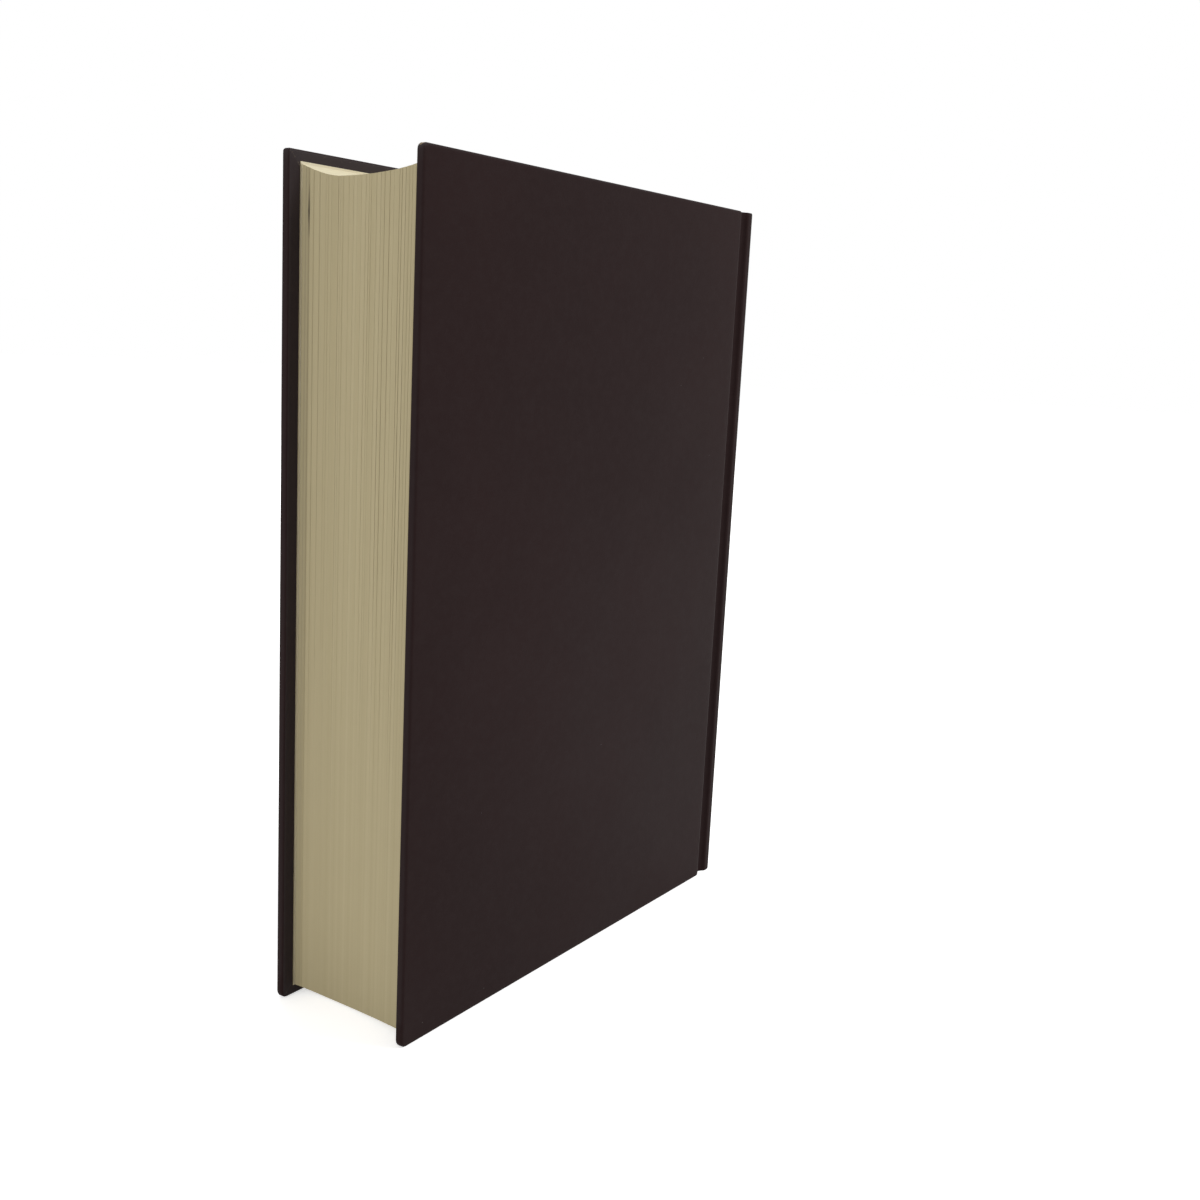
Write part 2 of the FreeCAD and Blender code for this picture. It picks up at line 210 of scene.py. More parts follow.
class Nodes:
    """A material's node tree with short calls for the nodes that the finishes share."""

    def __init__(self, name):
        self.material = bpy.data.materials.new(name)
        self.material.use_nodes = True
        self.tree = self.material.node_tree
        self.shader = self.tree.nodes["Principled BSDF"]

    def add(self, kind, **settings):
        node = self.tree.nodes.new(kind)
        for key, value in settings.items():
            setattr(node, key, value)
        return node

    def link(self, source, target):
        self.tree.links.new(source, target)

    def attribute(self, name):
        return self.add("ShaderNodeAttribute", attribute_name=name)

    def scaled(self, vector, scale):
        node = self.add("ShaderNodeMapping")
        node.inputs["Scale"].default_value = scale
        self.link(vector, node.inputs["Vector"])
        return node.outputs["Vector"]

    def noise(self, vector, scale, detail=3.0, roughness=0.55):
        node = self.add("ShaderNodeTexNoise")
        node.inputs["Scale"].default_value = scale
        node.inputs["Detail"].default_value = detail
        node.inputs["Roughness"].default_value = roughness
        self.link(vector, node.inputs["Vector"])
        return node.outputs["Fac"]

    def voronoi(self, vector, scale, feature="F1"):
        node = self.add("ShaderNodeTexVoronoi", feature=feature)
        node.inputs["Scale"].default_value = scale
        self.link(vector, node.inputs["Vector"])
        return node.outputs["Distance"]

    def ramp(self, value, low, high, to_low=0.0, to_high=1.0):
        node = self.add("ShaderNodeMapRange", interpolation_type="SMOOTHSTEP")
        node.inputs["From Min"].default_value = low
        node.inputs["From Max"].default_value = high
        node.inputs["To Min"].default_value = to_low
        node.inputs["To Max"].default_value = to_high
        self.link(value, node.inputs["Value"])
        return node.outputs["Result"]

    def math(self, operation, first, second):
        node = self.add("ShaderNodeMath", operation=operation)
        for socket, value in zip(node.inputs, (first, second)):
            if isinstance(value, (int, float)):
                socket.default_value = value
            else:
                self.link(value, socket)
        return node.outputs["Value"]

    def mix(self, factor, first, second):
        """Mix two colours. The node keeps a socket for each kind of data under the same names,
        so the colour ones are taken by their places."""
        node = self.add("ShaderNodeMix", data_type="RGBA")
        factor_in, first_in, second_in = node.inputs[0], node.inputs[6], node.inputs[7]
        self.link(factor, factor_in)
        for socket, value in ((first_in, first), (second_in, second)):
            if isinstance(value, tuple):
                socket.default_value = (*value, 1.0)
            else:
                self.link(value, socket)
        return node.outputs[2]

    def bump(self, height, distance, strength=1.0, under=None):
        node = self.add("ShaderNodeBump")
        node.inputs["Strength"].default_value = strength
        node.inputs["Distance"].default_value = distance
        self.link(height, node.inputs["Height"])
        if under is not None:
            self.link(under, node.inputs["Normal"])
        return node.outputs["Normal"]

    def surface(self, color, roughness, normal, **numbers):
        self.link(color, self.shader.inputs["Base Color"])
        if isinstance(roughness, float):
            self.shader.inputs["Roughness"].default_value = roughness
        else:
            self.link(roughness, self.shader.inputs["Roughness"])
        self.link(normal, self.shader.inputs["Normal"])
        for socket, value in numbers.items():
            self.shader.inputs[socket.replace("_", " ")].default_value = value
        return self.material


# Finishes. Noise scales are per metre, colours are linear.

BROWN_DARK = (0.0156, 0.0080, 0.0079)
BROWN_LIGHT = (0.0188, 0.0093, 0.0092)
BROWN_CLOUD = (0.0213, 0.0129, 0.0127)
# Grey of the real scuffs on the edges, also used as painted sheen and painted light on the turn-ins.
SCUFF_AND_SHEEN_GREY = (0.052, 0.045, 0.047)
RUBBED_TAN = (0.26, 0.20, 0.13)
DUST = (0.22, 0.21, 0.20)

# The fore edge and the page ends are one paper: the fore edge is painted darker, painted shade between
# the leaves, and the ends paler, painted light as the head gets from above; the tail is painted the
# same.
PAGE_EDGE_DARK = (0.412, 0.350, 0.208)
PAGE_EDGE_LIGHT = (0.445, 0.380, 0.232)
SECTION_LINE = (0.28, 0.235, 0.14)
LEAF_LINE = (0.32, 0.27, 0.16)
# Painted shade in the gap and in the open lines between the leaves.
PAINTED_GAP_SHADE = (0.075, 0.063, 0.046)
AGED_PAGE = (0.34, 0.285, 0.17)
PAGE_END_DARK = (0.66, 0.59, 0.40)
PAGE_END_LIGHT = (0.79, 0.72, 0.51)

ENDPAPER_LIGHT = (0.86, 0.80, 0.62)
ENDPAPER_DARK = (0.81, 0.75, 0.57)
BROWNED_RIM = (0.40, 0.33, 0.19)

BAND_THREAD = (0.74, 0.68, 0.54)
BAND_GAP = (0.42, 0.37, 0.27)
GAUZE_THREAD = (0.72, 0.68, 0.58)
GAUZE_GAP = (0.30, 0.26, 0.20)
BOARD_DARK = (0.36, 0.34, 0.31)
BOARD_LIGHT = (0.48, 0.46, 0.42)
BOARD_FLECK = (0.16, 0.15, 0.14)
KRAFT_DARK = (0.36, 0.25, 0.14)
KRAFT_LIGHT = (0.50, 0.37, 0.23)


def covering_material():
    """Dark brown leather-like covering: pebbled grain, faint mottling, rubbed edges, stray dust, and
    painted sheen on the turn-ins.
    """
    n = Nodes("covering")
    rest = n.attribute("rest").outputs["Vector"]
    wear = n.attribute("wear").outputs["Fac"]
    mottle = n.ramp(n.noise(rest, 9, detail=5), 0.3, 0.7)
    brown = n.mix(mottle, BROWN_DARK, BROWN_LIGHT)
    cloud = n.ramp(n.noise(rest, 340, detail=4, roughness=0.7), 0.35, 0.75, 0.0, 0.4)
    brown = n.mix(cloud, brown, BROWN_CLOUD)
    rub_noise = n.noise(rest, 1300, detail=4, roughness=0.7)
    # Scuff grey over the wear attribute: real scuffs on the edges, and painted sheen and painted light
    # on the turn-ins.
    scuff_and_sheen = n.ramp(wear, 0.05, 0.8, 0.0, 0.6)
    brown = n.mix(scuff_and_sheen, brown, SCUFF_AND_SHEEN_GREY)
    rubbed = n.ramp(n.math("ADD", rub_noise, n.math("MULTIPLY", wear, 0.22)), 0.84, 0.93)
    color = n.mix(rubbed, brown, RUBBED_TAN)
    dust = n.ramp(n.voronoi(rest, 95), 0.013, 0.006, 0.0, 0.55)
    color = n.mix(dust, color, DUST)
    grain = n.math("ADD", n.voronoi(rest, 1700, "SMOOTH_F1"), n.noise(rest, 3600, detail=2))
    normal = n.bump(grain, 0.03 * MM, 0.6)
    swell = n.noise(rest, 48, detail=2)
    normal = n.bump(swell, 0.12 * MM, 0.2, normal)
    roughness = n.ramp(n.noise(rest, 22, detail=4), 0.3, 0.7, 0.48, 0.53)
    return n.surface(color, roughness, normal, Specular_IOR_Level=0.035)


def pages_material():
    """Trimmed page edges: fine leaf lines that run with the leaves, clearest near the head.
    The heads and tails of the leaves are painted paler than the fore edge: painted light and shade."""
    n = Nodes("pages")
    leaf = n.attribute("leaf").outputs["Vector"]
    rest = n.attribute("rest").outputs["Vector"]
    height = n.add("ShaderNodeSeparateXYZ")
    n.link(rest, height.inputs["Vector"])
    settled = n.ramp(height.outputs["Z"], 0.03, 0.20, 0.16, 1.0)
    sections = n.noise(n.scaled(leaf, (420, 0.6, 1)), 1.0, detail=2, roughness=0.6)
    lines = n.noise(n.scaled(leaf, (4400, 0.8, 1)), 1.0, detail=2, roughness=0.6)
    leaves = n.noise(n.scaled(leaf, (9500, 1.5, 1)), 1.0, detail=1)
    color = n.mix(n.ramp(sections, 0.3, 0.7), PAGE_EDGE_DARK, PAGE_EDGE_LIGHT)
    dark_line = n.math("MULTIPLY", n.ramp(lines, 0.35, 0.27, 0.0, 0.38), settled)
    color = n.mix(dark_line, color, SECTION_LINE)
    leaf_line = n.math("MULTIPLY", n.ramp(leaves, 0.42, 0.28, 0.0, 0.34), settled)
    color = n.mix(leaf_line, color, LEAF_LINE)
    # Painted shade from the gap attribute: on the first leaves, in the open lines and in the gap.
    color = n.mix(n.attribute("gap").outputs["Fac"], color, PAINTED_GAP_SHADE)
    tone = n.ramp(n.noise(rest, 38, detail=4), 0.5, 0.8, 0.0, 0.12)
    color = n.mix(tone, color, AGED_PAGE)
    # Painted light: the page ends are painted paler than the fore edge.
    end_color = n.mix(n.ramp(lines, 0.30, 0.55), PAGE_END_DARK, PAGE_END_LIGHT)
    color = n.mix(n.attribute("page_end").outputs["Fac"], color, end_color)
    normal = n.bump(lines, 0.06 * MM, 0.5)
    normal = n.bump(leaves, 0.03 * MM, 0.5, normal)
    return n.surface(color, 0.85, normal, Specular_IOR_Level=0.25)


def endpaper_material():
    """Smooth wove paper: faint fibre clouds, a very fine tooth and browned rims."""
    n = Nodes("endpaper")
    rest = n.attribute("rest").outputs["Vector"]
    cloud = n.ramp(n.noise(rest, 120, detail=5, roughness=0.65), 0.3, 0.7)
    color = n.mix(cloud, ENDPAPER_DARK, ENDPAPER_LIGHT)
    fibre = n.ramp(n.noise(n.scaled(rest, (1, 1, 0.35)), 1600, detail=3), 0.60, 0.75, 0.0, 0.25)
    color = n.mix(fibre, color, tuple(0.86 * c for c in ENDPAPER_DARK))
    color = n.mix(n.attribute("wear").outputs["Fac"], color, BROWNED_RIM)
    normal = n.bump(n.noise(rest, 2600, detail=3), 0.02 * MM, 0.5)
    return n.surface(color, 0.8, normal, Specular_IOR_Level=0.25)


def woven_material(name, thread, gap_color, pitch, object_space=False):
    """A plain weave, with threads along and across the piece."""
    n = Nodes(name)
    if object_space:
        place = n.add("ShaderNodeTexCoord").outputs["Object"]
    else:
        place = n.attribute("rest").outputs["Vector"]
    axes = n.add("ShaderNodeSeparateXYZ")
    n.link(place, axes.inputs["Vector"])
    turns = 2 * math.pi / pitch
    along = n.math("SINE", n.math("MULTIPLY", axes.outputs["Z"], turns), 0.0)
    across = n.math("SINE", n.math("MULTIPLY", axes.outputs["Y"], turns), 0.0)
    weave = n.math("MAXIMUM", along, across)
    uneven = n.noise(place, 500, detail=3)
    shade = n.ramp(n.math("ADD", weave, n.math("MULTIPLY", uneven, 0.6)), -0.2, 1.0)
    color = n.mix(shade, gap_color, thread)
    normal = n.bump(weave, 0.08 * MM, 0.6)
    return n.surface(color, 0.9, normal, Specular_IOR_Level=0.2)


def board_material():
    """Grey board, pressed from waste paper, with flecks."""
    n = Nodes("grey_board")
    place = n.add("ShaderNodeTexCoord").outputs["Object"]
    cloud = n.ramp(n.noise(place, 150, detail=5), 0.3, 0.7)
    color = n.mix(cloud, BOARD_DARK, BOARD_LIGHT)
    flecks = n.ramp(n.noise(place, 1400, detail=2), 0.66, 0.74, 0.0, 0.6)
    color = n.mix(flecks, color, BOARD_FLECK)
    normal = n.bump(n.noise(place, 1800, detail=4), 0.05 * MM, 0.6)
    return n.surface(color, 0.92, normal, Specular_IOR_Level=0.2)


def kraft_material():
    """Brown kraft paper with long fibres."""
    n = Nodes("kraft_paper")
    place = n.add("ShaderNodeTexCoord").outputs["Object"]
    fibres = n.noise(n.scaled(place, (1, 1, 0.12)), 1500, detail=4)
    color = n.mix(n.ramp(fibres, 0.35, 0.65), KRAFT_DARK, KRAFT_LIGHT)
    normal = n.bump(fibres, 0.03 * MM, 0.5)
    return n.surface(color, 0.88, normal, Specular_IOR_Level=0.2)


covering = covering_material()
pages = pages_material()
endpaper = endpaper_material()
band_thread = woven_material("band_thread", BAND_THREAD, BAND_GAP, 0.6 * MM)
gauze = woven_material("gauze", GAUZE_THREAD, GAUZE_GAP, 0.9 * MM, True)
board = board_material()
kraft = kraft_material()


# Text block: every column of points is a leaf's outline, from the front cover to the back cover

LEAF_COLUMNS = 400
LEAF_ROWS = 64
SHOULDER_STATIONS = 4
FLAT_STATIONS = 22

SECTIONS = 60
SECTION_THINNEST_MM = 0.7
SECTION_THICKEST_MM = 2.3
SECTION_RELIEF_MM = 0.05
LEAF_RELIEF_MM = 0.02
LINE_SHARE_OF_NEXT_LEAF = 0.45
END_RELIEF_MM = 0.05

WAVES = 5
WAVE_HEIGHT = 0.005 * MM

GAP_Y = -19.8 * MM
GAP_LOW_Z = 218 * MM
GAP_HIGH_Z = 231 * MM
GAP_NEIGHBOURS = (0.95 * MM, -0.8 * MM)
GAP_DEPTH_MM = 0.15
GAP_DEPTH_OPEN_MM = 0.8
GAP_BEND = 0.06 * MM
# Painted shade: in the gap, closed and open, and on the first leaves before it, beside the front
# board.
GAP_SHADE = 0.24
GAP_SHADE_OPEN = 0.60
FIRST_LEAVES_SHADE = 0.16

LINES_CLOSED = 0.15
LINES_CLOSED_Z = 25 * MM
LINES_OPENING = 150 * MM


def hollow(place, deepest_at, deepest, front_end, back_end):
    """Depth along two arcs that meet level at the deepest place and end with each cover's own."""
    depth = np.empty_like(place)
    for side, end_place, end_depth in (
            (place < deepest_at, -PAGE_Y, front_end), (place >= deepest_at, PAGE_Y, back_end)):
        run = end_place - deepest_at
        rise = deepest - end_depth
        radius = (run ** 2 + rise ** 2) / (2 * rise)
        away = np.clip(place[side] - deepest_at, -radius, radius)
        depth[side] = deepest - radius + np.sqrt(radius ** 2 - away ** 2)
    return depth


def gap_opening(z):
    """0 to 1: how far the gap behind the first leaves stands open at a height."""
    middle = (GAP_LOW_Z + GAP_HIGH_Z) / 2
    return smooth_step(1 - abs(z - middle) / ((GAP_HIGH_Z - GAP_LOW_Z) / 2))


def openness(z):
    """The lines between sections close towards the tail, where the leaves press together."""
    opening = float(smooth_step((z - LINES_CLOSED_Z) / LINES_OPENING))
    return LINES_CLOSED + (1 - LINES_CLOSED) * opening


class Leaves:
    """Shape of every column of the text block."""

    def __init__(self):
        share = np.linspace(-1, 1, LEAF_COLUMNS)
        self.y = share * PAGE_Y
        self.back_y = share * SHOULDER_Y
        self.back_x = BACK_CENTRE_X - np.sqrt(BACK_RADIUS ** 2 - self.back_y ** 2)
        self.fore_x = FORE_X - hollow(
            self.y, FORE_HOLLOW_Y, FORE_HOLLOW, FORE_SQUARE_FRONT, FORE_SQUARE_BACK)
        self.drop = hollow(self.y, SAG_Y, SAG_DEEPEST, SAG_FRONT, SAG_BACK)
        self.gap_column = int(np.argmin(np.abs(self.y - GAP_Y)))
        self.settle()

    def settle(self):
        """How far each trimmed edge lies back, and how dark it is painted: folded sections of leaves
        that settled unevenly, with a thin open line between them in painted shade, stronger towards
        the back cover."""
        thickness = rng.uniform(SECTION_THINNEST_MM, SECTION_THICKEST_MM, SECTIONS)
        edges = np.cumsum(thickness) * MM + GAP_Y
        edges = np.append(edges[edges < PAGE_Y], [GAP_Y + away for away in GAP_NEIGHBOURS])
        section = np.searchsorted(np.sort(edges), self.y)
        self.relief = rng.uniform(0, SECTION_RELIEF_MM, SECTIONS)[section] * MM
        self.relief += rng.uniform(0, LEAF_RELIEF_MM, LEAF_COLUMNS) * MM
        self.dark = np.zeros(LEAF_COLUMNS)
        for edge in edges:
            column = int(np.argmin(np.abs(self.y - edge)))
            weight = rng.uniform(0.06, 0.24) + rng.uniform(0.0, 0.24) * (edge > 0)
            self.dark[column:column + 2] = (weight, weight * LINE_SHARE_OF_NEXT_LEAF)
            self.relief[column] += (0.05 + 0.3 * weight) * MM
        self.end_relief = rng.uniform(0, END_RELIEF_MM, LEAF_COLUMNS) * MM + self.relief * 0.3
        self.wander = rng.normal(0, 1, (WAVES, LEAF_COLUMNS))

    def point(self, column, station, row):
        """station: 0 at the back, 1 where the shoulder ends, 2 at the fore edge. row: tail to head."""
        if station < 1:
            x = self.back_x[column] + (FLARE_X - self.back_x[column]) * station
            y = self.back_y[column] + (self.y[column] - self.back_y[column]) * station
        else:
            x = FLARE_X + (self.fore_x[column] - FLARE_X) * (station - 1)
            y = self.y[column]
        deepest_x = FORE_X - FORE_HOLLOW
        hang = self.drop[column] * max(0.0, (x - BOARD_X) / (deepest_x - BOARD_X))
        low = TAIL_Z - hang + (self.end_relief[column] if row == 0 else 0.0)
        high = HEAD_Z - hang - (self.end_relief[column] if row == 1 else 0.0)
        z = low + (high - low) * row
        if station == 2:
            waves = sum(
                self.wander[k, column] * math.sin((k + 1) * math.pi * row + k)
                for k in range(WAVES))
            x -= self.relief[column] * openness(z) + WAVE_HEIGHT * waves
            if column in (self.gap_column - 1, self.gap_column):
                x -= (GAP_DEPTH_MM + GAP_DEPTH_OPEN_MM * gap_opening(z)) * MM
            elif 1 < self.gap_column - column < 6:
                y -= GAP_BEND * gap_opening(z)
        return x, y, z

    def shade(self, column, z, under):
        """Painted shade of a fore-edge point: the gap's own, or an open line's over the leaf's own."""
        if column in (self.gap_column - 2, self.gap_column - 1):
            return GAP_SHADE * openness(z) + GAP_SHADE_OPEN * gap_opening(z)
        return under + self.dark[column] * openness(z)


def leaf_outline(stations):
    """(station, row) round a leaf: along the tail, up the fore edge, back at the head, down."""
    top = LEAF_ROWS - 1
    return (
        [(i, 0) for i in range(stations)]
        + [(stations - 1, j) for j in range(1, top)]
        + [(i, top) for i in reversed(range(stations))]
        + [(0, j) for j in reversed(range(1, top))])


def build_text_block():
    leaves = Leaves()
    stations = np.concatenate([
        np.linspace(0, 1, SHOULDER_STATIONS, endpoint=False),
        1 + np.linspace(0, 1, FLAT_STATIONS)])
    rows = np.linspace(0, 1, LEAF_ROWS)
    count = len(stations)
    outline_places = leaf_outline(count)
    size = len(outline_places)
    points = []
    leaf = []
    for column in range(LEAF_COLUMNS):
        for i, j in outline_places:
            point = leaves.point(column, stations[i], rows[j])
            points.append(point)
            on_upright = i in (0, count - 1)
            leaf.append((leaves.y[column], point[2] if on_upright else point[0], 0.0))
    faces = ring_faces(list(range(size)), LEAF_COLUMNS)

    for column in (0, LEAF_COLUMNS - 1):
        number = {place: column * size + k for k, place in enumerate(outline_places)}
        for i in range(1, count - 1):
            for j in range(1, LEAF_ROWS - 1):
                number[i, j] = len(points)
                point = leaves.point(column, stations[i], rows[j])
                points.append(point)
                leaf.append((leaves.y[column], point[0], 0.0))
        for i in range(count - 1):
            for j in range(LEAF_ROWS - 1):
                quad = (number[i, j], number[i + 1, j], number[i + 1, j + 1], number[i, j + 1])
                faces.append(quad if column == 0 else quad[::-1])
    obj = object_from("text_block_leaves", points, faces)

    leaf_attribute = obj.data.attributes.new("leaf", "FLOAT_VECTOR", "POINT")
    leaf_attribute.data.foreach_set("vector", np.array(leaf, np.float32).ravel())

    # The gap attribute is painted shade: the first leaves' everywhere, and on the fore edge the open
    # lines' and the gap's.
    gap = np.where(np.array(leaf)[:, 0] < GAP_Y, FIRST_LEAVES_SHADE, 0.0).astype(np.float32)
    for column in range(LEAF_COLUMNS):
        for k, (i, _) in enumerate(outline_places):
            if i == count - 1:
                place = column * size + k
                gap[place] = leaves.shade(column, points[place][2], gap[place])
    gap_attribute = obj.data.attributes.new("gap", "FLOAT", "POINT")
    gap_attribute.data.foreach_set("value", gap)

    ends = (0, LEAF_ROWS - 1)
    on_end = [
        here[1] == after[1] and here[1] in ends
        for here, after in zip(outline_places, outline_places[1:] + outline_places[:1])]
    page_end = np.zeros(len(faces), np.float32)
    page_end[:(LEAF_COLUMNS - 1) * size] = np.tile(on_end, LEAF_COLUMNS - 1)
    end_attribute = obj.data.attributes.new("page_end", "FLOAT", "FACE")
    end_attribute.data.foreach_set("value", page_end)

    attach(obj, "text_block")
    finish_mesh(obj, pages, sharp_angle=55)
    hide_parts("text_block")


# Covering: one section over the head and tail edges, swept along the case's outline

INSIDE_INSETS_MM = (15, 10, 6.5, 4.5, 3.2, 2.2, 1.4)
OUTSIDE_INSETS_MM = (1.4, 2.2, 4, 7, 12, 20, 35, 60, 90, 120)
ROUND_ANGLES = (0, 15, 30, 45, 60, 75, 90)

SPINE_POINTS = 26
GROOVE_POINTS = 20
CORNER_POINTS = 7
SPINE_EDGE = 1.7 * MM
SPINE_EDGE_FLAT = 1.2 * MM
LAND_EDGE = 0.8 * MM
LIP_EDGE = 1.0 * MM
SOFTENED_ANGLE = 14

# The turned-in covering: round the card at the spine, folded on itself in the joint, over the board

SPINE_FOLD_X = SPINE_CORNER_X + 0.4 * MM
JOINT_FOLD_X = HINGE_X + 0.6 * MM
JOINT_FOLD = 0.45 * MM
FOLD_BESIDE_CARD = 1.25 * MM
GROOVE_FOLD = 0.38 * MM


def edge_section(depth):
    """(inset from the edge, depth from the outer face) round a head or tail edge, inside first."""
    radius = min(EDGE_ROUND, depth * 0.48)
    section = [(inset * MM, depth) for inset in INSIDE_INSETS_MM]
    quarter = [math.radians(a) for a in ROUND_ANGLES]
    section += [
        (radius - radius * math.sin(a), depth - radius + radius * math.cos(a)) for a in quarter]
    section += [(0.0, depth / 2)]
    section += [
        (radius - radius * math.sin(a), radius - radius * math.cos(a)) for a in reversed(quarter)]
    section += [(inset * MM, 0.0) for inset in OUTSIDE_INSETS_MM]
    return section


def full_section(depth):
    """(z, depth) from inside the tail, round to the outer face, and on to inside the head."""
    half = edge_section(depth)
    return half + [(HEIGHT - inset, d) for inset, d in reversed(half)]


def joint_section(depth):
    """The same section, with its turn-ins cut short where the endpaper's fold passes."""
    section = []
    for z, d in full_section(depth):
        if d == depth:
            z = min(z, JOINT_TURN_IN) if z < HEIGHT / 2 else max(z, HEIGHT - JOINT_TURN_IN)
        section.append((z, d))
    return section


def bezier(start, corner, end):
    """Points that round off a corner between two places."""
    places = []
    for t in np.linspace(0, 1, CORNER_POINTS):
        a, b, c = (1 - t) ** 2, 2 * t * (1 - t), t * t
        places.append(tuple(a * s + b * k + c * e for s, k, e in zip(start, corner, end)))
    return places


def groove_point(angle):
    """A point of the joint groove, angle in degrees from its deepest line towards the board."""
    turn = math.radians(angle)
    return HINGE_X + GROOVE_RADIUS * math.sin(turn), GROOVE_Y - GROOVE_RADIUS * math.cos(turn)


def case_outline():
    """Outer line of the case from the middle of the spine to just inside the back board."""
    line = []
    for y in np.linspace(0, LAND_Y - SPINE_EDGE, SPINE_POINTS):
        line.append((BACK_CENTRE_X - math.sqrt(SPINE_RADIUS ** 2 - y * y), y))
    line += bezier(
        line[-1], (SPINE_CORNER_X, LAND_Y), (SPINE_CORNER_X + SPINE_EDGE_FLAT, LAND_Y))[1:]
    line.append((STRIP_START_X, LAND_Y))
    land_angle = -math.degrees(math.acos((GROOVE_Y - LAND_Y) / GROOVE_RADIUS))
    first_angle = land_angle + SOFTENED_ANGLE
    land_corner = groove_point(land_angle)
    line += bezier((land_corner[0] - LAND_EDGE, LAND_Y), land_corner, groove_point(first_angle))
    lip_angle = math.degrees(math.acos((GROOVE_Y - OUTER_Y) / GROOVE_RADIUS))
    last_angle = lip_angle - SOFTENED_ANGLE
    line += [groove_point(a) for a in np.linspace(first_angle, last_angle, GROOVE_POINTS)[1:-1]]
    lip = groove_point(lip_angle)
    line += bezier(groove_point(last_angle), lip, (lip[0] + LIP_EDGE, OUTER_Y))
    line.append((STRIP_END_X, OUTER_Y))
    return line


def inner_point(x, y):
    """Where the turned-in covering lies inside the outer line's point."""
    if x <= SPINE_FOLD_X:
        depth = CLOTH * 2 + INLAY
        reach = math.hypot(x - BACK_CENTRE_X, y)
        share = (reach - depth) / reach
        return BACK_CENTRE_X + (x - BACK_CENTRE_X) * share, y * share
    if x <= JOINT_FOLD_X:
        return max(x, SPINE_FOLD_X + FOLD_BESIDE_CARD), y - JOINT_FOLD
    toward_board = smooth_step((x - JOINT_FOLD_X) / (BOARD_X - JOINT_FOLD_X))
    groove_floor = GROOVE_Y - GROOVE_RADIUS - GROOVE_FOLD
    return x, float(groove_floor + (INNER_Y - groove_floor) * toward_board)


outline = case_outline()


def sweep(name, line, side):
    """Covering over part of the outline, on the back (side 1) or the front (-1)."""
    points = []
    rows = 0
    for x, y in line:
        inner_x, inner_y = inner_point(x, abs(y))
        inner_y = math.copysign(inner_y, y)
        depth = math.hypot(inner_x - x, inner_y - y)
        in_joint = SPINE_FOLD_X < x < BOARD_X - 0.2 * MM
        section = joint_section(depth) if in_joint else full_section(depth)
        rows = len(section)
        for z, d in section:
            share = d / depth
            points.append((
                x + (inner_x - x) * share, side * (y + (inner_y - y) * share), z))
    return object_from(name, points, grid_faces(len(line), rows))


def spine_wear(places):
    """Light scuffing along the head and tail edges."""
    edge = np.minimum(places[:, 2], HEIGHT - places[:, 2])
    return 0.22 * np.exp(-edge / (0.7 * MM))


def build_spine_cloth():
    half = [point for point in outline if point[0] <= STRIP_START_X + 0.001 * MM]
    line = [(x, -y) for x, y in reversed(half[1:])] + half
    obj = sweep("spine_covering", line, 1)
    weld(obj, (-1, 0, 0))
    thicken(obj, CLOTH * SHEET_SHARE)
    finish_mesh(obj, covering, wear=spine_wear)
    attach(obj, "text_block")
    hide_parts("spine_cloth")


def build_joint_cloth(side, prefix):
    line = [point for point in outline if point[0] >= STRIP_START_X - 0.001 * MM]
    obj = sweep(prefix + "_joint_covering", line, side)
    weld(obj, (0, side, 0))
    thicken(obj, CLOTH * SHEET_SHARE)
    finish_mesh(obj, covering, wear=spine_wear)
    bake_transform(obj)
    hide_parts("spine_cloth", prefix + "_cloth")


# Covers: the same section, led round the two fore corners

NEAR_CORNER = [d * MM for d in (0, 0.15, 0.4, 0.8, 1.5, 3, 6, 12, 25, 50, 80)]
FAR_FROM_CORNER = 120 * MM
CORNER_ANGLES = (22.5, 45, 67.5, 90)
MITRE_STEP = 0.2 * MM
MITRE_LENGTH = 6 * MM
MITRE_FADE_START = 1.6 * MM
MITRE_FADE = 2.4 * MM
RUBBED_SPOT = (0.8 * MM, 0.2 * MM)
RUBBED_SPOT_SIZE = 0.75 * MM


def mitre_raise(from_corner, inset):
    """The fore-edge turn-in lies over the head and tail ones, thicker along the mitre."""
    fade = 1 - smooth_step((inset - MITRE_FADE_START) / MITRE_FADE)
    return MITRE_STEP * math.exp(-from_corner / MITRE_LENGTH) * float(fade)


def half_ring(inset, corner_round):
    """(x, z, distance from the mitre, on the fore edge) from the joint's side at the tail, round
    the fore corner and halfway up the fore edge."""
    radius = max(corner_round - inset, 0.0)
    corner = max(corner_round, inset)
    run = FORE_X - corner - STRIP_END_X
    whole_run = FORE_X - corner_round - STRIP_END_X
    rise = HEIGHT / 2 - corner
    whole_rise = HEIGHT / 2 - corner_round
    places = [(STRIP_END_X, inset, 1.0, False)]
    for distance in reversed(NEAR_CORNER + [FAR_FROM_CORNER]):
        share = distance / whole_run
        places.append((STRIP_END_X + run * (1 - share), inset, distance, False))
    for angle in CORNER_ANGLES:
        turn = math.radians(angle)
        places.append((
            FORE_X - corner + radius * math.sin(turn),
            corner - radius * math.cos(turn), 0.0, False))
    for distance in NEAR_CORNER:
        share = distance / whole_rise
        places.append((FORE_X - inset, corner + rise * share, distance, True))
    return places


def cover_ring(inset, head_round):
    """The whole ring of that inset, from the tail to the head."""
    middle = [(FORE_X - inset, HEIGHT / 2, 1.0, True)]
    head = [(x, HEIGHT - z, d, fore) for x, z, d, fore in reversed(half_ring(inset, head_round))]
    return half_ring(inset, TAIL_CORNER_ROUND) + middle + head


